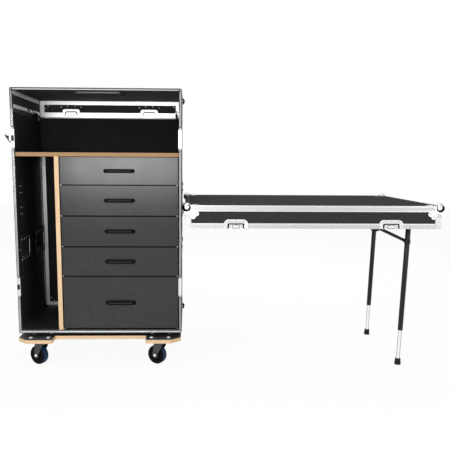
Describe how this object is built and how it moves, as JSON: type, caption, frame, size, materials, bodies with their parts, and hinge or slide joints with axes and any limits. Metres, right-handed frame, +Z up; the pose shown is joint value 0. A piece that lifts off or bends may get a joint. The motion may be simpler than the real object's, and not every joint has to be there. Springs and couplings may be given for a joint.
{
  "type": "road case with drawers",
  "caption": "Wheeled road case with drawers, a tall bay and a hinged lid, its front cover hung on the side as a work table on folding legs.",
  "frame": {"origin": "on the floor, below the middle of the bounding box of the case with its table set up", "axes": "+X from the case to the table, along the long side; +Y to the rear of the case, away from its open front; +Z up"},
  "size_m": [2.168, 0.876, 1.442],
  "materials": {
    "laminate": "matte laminate on plywood",
    "aluminium": "mill-finished extrusion",
    "zinc": "zinc-plated pressed steel",
    "chrome": "polished",
    "drawer_front": "satin laminate on plywood",
    "plywood": "oiled birch plywood",
    "black_steel": "satin black",
    "blue_tyre": "blue elastic tyre on a black core"
  },
  "bodies": {
    "case": {"left_side_panel": "laminate", "right_side_panel": "laminate", "base_panel": "laminate", "rear_panel": "laminate", "body_rim": "aluminium", "body_edge_trim": "aluminium", "inner_corner_trim": "aluminium", "work_shelf": "laminate", "drawer_divider": "laminate", "upper_back_board": "laminate", "left_runner_set": "zinc", "right_runner_set": "zinc", "dolly_board": "laminate", "table_hanger": "black_steel", "caster_1_plate": "zinc", "caster_2_plate": "zinc", "caster_3_plate": "zinc", "caster_4_plate": "zinc", "latch_1_dish": "zinc", "latch_2_dish": "zinc", "latch_3_dish": "zinc", "latch_4_dish": "zinc"},
    "lid": {"lid_shell": "laminate", "lid_trim": "aluminium"},
    "drawer_1": {"drawer_1_box": "plywood", "drawer_1_front": "drawer_front"},
    "drawer_2": {"drawer_2_box": "plywood", "drawer_2_front": "drawer_front"},
    "drawer_3": {"drawer_3_box": "plywood", "drawer_3_front": "drawer_front"},
    "drawer_4": {"drawer_4_box": "plywood", "drawer_4_front": "drawer_front"},
    "drawer_5": {"drawer_5_box": "plywood", "drawer_5_front": "drawer_front"},
    "strut_1_barrel": {"strut_1_cylinder": "black_steel"},
    "strut_1_piston": {"strut_1_rod": "chrome"},
    "strut_2_barrel": {"strut_2_cylinder": "black_steel"},
    "strut_2_piston": {"strut_2_rod": "chrome"},
    "latch_1_turner": {"latch_1_handle": "black_steel"},
    "latch_2_turner": {"latch_2_handle": "black_steel"},
    "latch_3_turner": {"latch_3_handle": "black_steel"},
    "latch_4_turner": {"latch_4_handle": "black_steel"},
    "grip_1": {"grip_1_bail": "black_steel"},
    "grip_2": {"grip_2_bail": "black_steel"},
    "grip_3": {"grip_3_bail": "black_steel"},
    "grip_4": {"grip_4_bail": "black_steel"},
    "caster_1_swivel": {"caster_1_fork": "zinc"},
    "caster_1_roller": {"caster_1_wheel": "blue_tyre"},
    "caster_2_swivel": {"caster_2_fork": "zinc"},
    "caster_2_roller": {"caster_2_wheel": "blue_tyre"},
    "caster_3_swivel": {"caster_3_fork": "zinc"},
    "caster_3_roller": {"caster_3_wheel": "blue_tyre"},
    "caster_4_swivel": {"caster_4_fork": "zinc"},
    "caster_4_roller": {"caster_4_wheel": "blue_tyre"},
    "table": {"table_panel": "laminate", "table_trim": "aluminium"},
    "legs": {"leg_frame": "black_steel"},
    "braces": {"brace_frame": "black_steel"},
    "leg_1_foot": {"leg_1_lower": "chrome"},
    "leg_2_foot": {"leg_2_lower": "chrome"}
  },
  "joints": [
    {"name": "drawer_1_slide", "type": "slide", "parent": "case", "child": "drawer_1", "axis": [0, -1, 0], "range_m": [0, 0.4]},
    {"name": "drawer_2_slide", "type": "slide", "parent": "case", "child": "drawer_2", "axis": [0, -1, 0], "range_m": [0, 0.4]},
    {"name": "drawer_3_slide", "type": "slide", "parent": "case", "child": "drawer_3", "axis": [0, -1, 0], "range_m": [0, 0.4]},
    {"name": "drawer_4_slide", "type": "slide", "parent": "case", "child": "drawer_4", "axis": [0, -1, 0], "range_m": [0, 0.4]},
    {"name": "drawer_5_slide", "type": "slide", "parent": "case", "child": "drawer_5", "axis": [0, -1, 0], "range_m": [0, 0.4]},
    {"name": "lid_hinge", "type": "hinge", "parent": "case", "child": "lid", "pos_m": [-0.629, 0.2915, 1.322], "axis": [-1, 0, 0], "range_deg": [0, 90]},
    {"name": "strut_1_turn", "type": "hinge", "parent": "case", "child": "strut_1_barrel", "pos_m": [-1.022, 0.243, 1.31], "axis": [-1, 0, 0], "range_deg": [0, 95.7]},
    {"name": "strut_1_extend", "type": "slide", "parent": "strut_1_barrel", "child": "strut_1_piston", "axis": [0, -0.9927, 0.1208], "range_m": [0, 0.0659]},
    {"name": "strut_2_turn", "type": "hinge", "parent": "case", "child": "strut_2_barrel", "pos_m": [-0.236, 0.243, 1.31], "axis": [-1, 0, 0], "range_deg": [0, 95.7]},
    {"name": "strut_2_extend", "type": "slide", "parent": "strut_2_barrel", "child": "strut_2_piston", "axis": [0, -0.9927, 0.1208], "range_m": [0, 0.0659]},
    {"name": "latch_1_turn", "type": "hinge", "parent": "case", "child": "latch_1_turner", "pos_m": [-1.054, -0.217, 1.182], "axis": [-1, 0, 0], "range_deg": [0, 180]},
    {"name": "latch_2_turn", "type": "hinge", "parent": "case", "child": "latch_2_turner", "pos_m": [-1.054, -0.217, 0.4206], "axis": [-1, 0, 0], "range_deg": [0, 180]},
    {"name": "latch_3_turn", "type": "hinge", "parent": "case", "child": "latch_3_turner", "pos_m": [-0.204, -0.217, 1.182], "axis": [1, 0, 0], "range_deg": [0, 180]},
    {"name": "latch_4_turn", "type": "hinge", "parent": "case", "child": "latch_4_turner", "pos_m": [-0.204, -0.217, 0.4206], "axis": [1, 0, 0], "range_deg": [0, 180]},
    {"name": "grip_1_swing", "type": "hinge", "parent": "case", "child": "grip_1", "pos_m": [-1.048, -0.144, 0.659], "axis": [0, 1, 0], "range_deg": [0, 90], "stiffness_Nm_per_rad": 0.3},
    {"name": "grip_2_swing", "type": "hinge", "parent": "case", "child": "grip_2", "pos_m": [-1.048, 0.154, 0.659], "axis": [0, 1, 0], "range_deg": [0, 90], "stiffness_Nm_per_rad": 0.3},
    {"name": "grip_3_swing", "type": "hinge", "parent": "case", "child": "grip_3", "pos_m": [-0.21, -0.144, 0.659], "axis": [0, -1, 0], "range_deg": [0, 90], "stiffness_Nm_per_rad": 0.3},
    {"name": "grip_4_swing", "type": "hinge", "parent": "case", "child": "grip_4", "pos_m": [-0.21, 0.154, 0.659], "axis": [0, -1, 0], "range_deg": [0, 90], "stiffness_Nm_per_rad": 0.3},
    {"name": "caster_1_swivel_turn", "type": "hinge", "parent": "case", "child": "caster_1_swivel", "pos_m": [-0.9425, -0.243, 0.116], "axis": [0, 0, 1], "continuous": true},
    {"name": "caster_1_wheel_roll", "type": "hinge", "parent": "caster_1_swivel", "child": "caster_1_roller", "pos_m": [-0.95982, -0.233, 0.05], "axis": [-0.5, -0.866, 0], "continuous": true},
    {"name": "caster_2_swivel_turn", "type": "hinge", "parent": "case", "child": "caster_2_swivel", "pos_m": [-0.3155, -0.243, 0.116], "axis": [0, 0, 1], "continuous": true},
    {"name": "caster_2_wheel_roll", "type": "hinge", "parent": "caster_2_swivel", "child": "caster_2_roller", "pos_m": [-0.33282, -0.233, 0.05], "axis": [-0.5, -0.866, 0], "continuous": true},
    {"name": "caster_3_swivel_turn", "type": "hinge", "parent": "case", "child": "caster_3_swivel", "pos_m": [-0.9425, 0.2705, 0.116], "axis": [0, 0, 1], "continuous": true},
    {"name": "caster_3_wheel_roll", "type": "hinge", "parent": "caster_3_swivel", "child": "caster_3_roller", "pos_m": [-0.95982, 0.2805, 0.05], "axis": [-0.5, -0.866, 0], "continuous": true},
    {"name": "caster_4_swivel_turn", "type": "hinge", "parent": "case", "child": "caster_4_swivel", "pos_m": [-0.3155, 0.2705, 0.116], "axis": [0, 0, 1], "continuous": true},
    {"name": "caster_4_wheel_roll", "type": "hinge", "parent": "caster_4_swivel", "child": "caster_4_roller", "pos_m": [-0.33282, 0.2805, 0.05], "axis": [-0.5, -0.866, 0], "continuous": true},
    {"name": "table_lift", "type": "slide", "parent": "case", "child": "table", "axis": [0, 0, 1], "range_m": [0, 0.05]},
    {"name": "leg_fold", "type": "hinge", "parent": "table", "child": "legs", "pos_m": [0.976, 0, 0.8332], "axis": [0, 1, 0], "range_deg": [0, 88]},
    {"name": "brace_fold", "type": "hinge", "parent": "legs", "child": "braces", "pos_m": [0.97216, 0, 0.665], "axis": [0, -1, 0], "range_deg": [0, 112.4]},
    {"name": "leg_1_extend", "type": "slide", "parent": "legs", "child": "leg_1_foot", "axis": [0.0228, 0, 0.9997], "range_m": [0, 0.14]},
    {"name": "leg_2_extend", "type": "slide", "parent": "legs", "child": "leg_2_foot", "axis": [0.0228, 0, 0.9997], "range_m": [0, 0.14]}
  ],
  "couplings": [
    {"joint": "strut_1_turn", "follows": "lid_hinge", "ratio": 1.0628},
    {"joint": "strut_1_extend", "follows": "lid_hinge", "m_per_rad": 0.04195},
    {"joint": "strut_2_turn", "follows": "lid_hinge", "ratio": 1.0628},
    {"joint": "strut_2_extend", "follows": "lid_hinge", "m_per_rad": 0.04195},
    {"joint": "brace_fold", "follows": "leg_fold", "ratio": 1.2771}
  ]
}
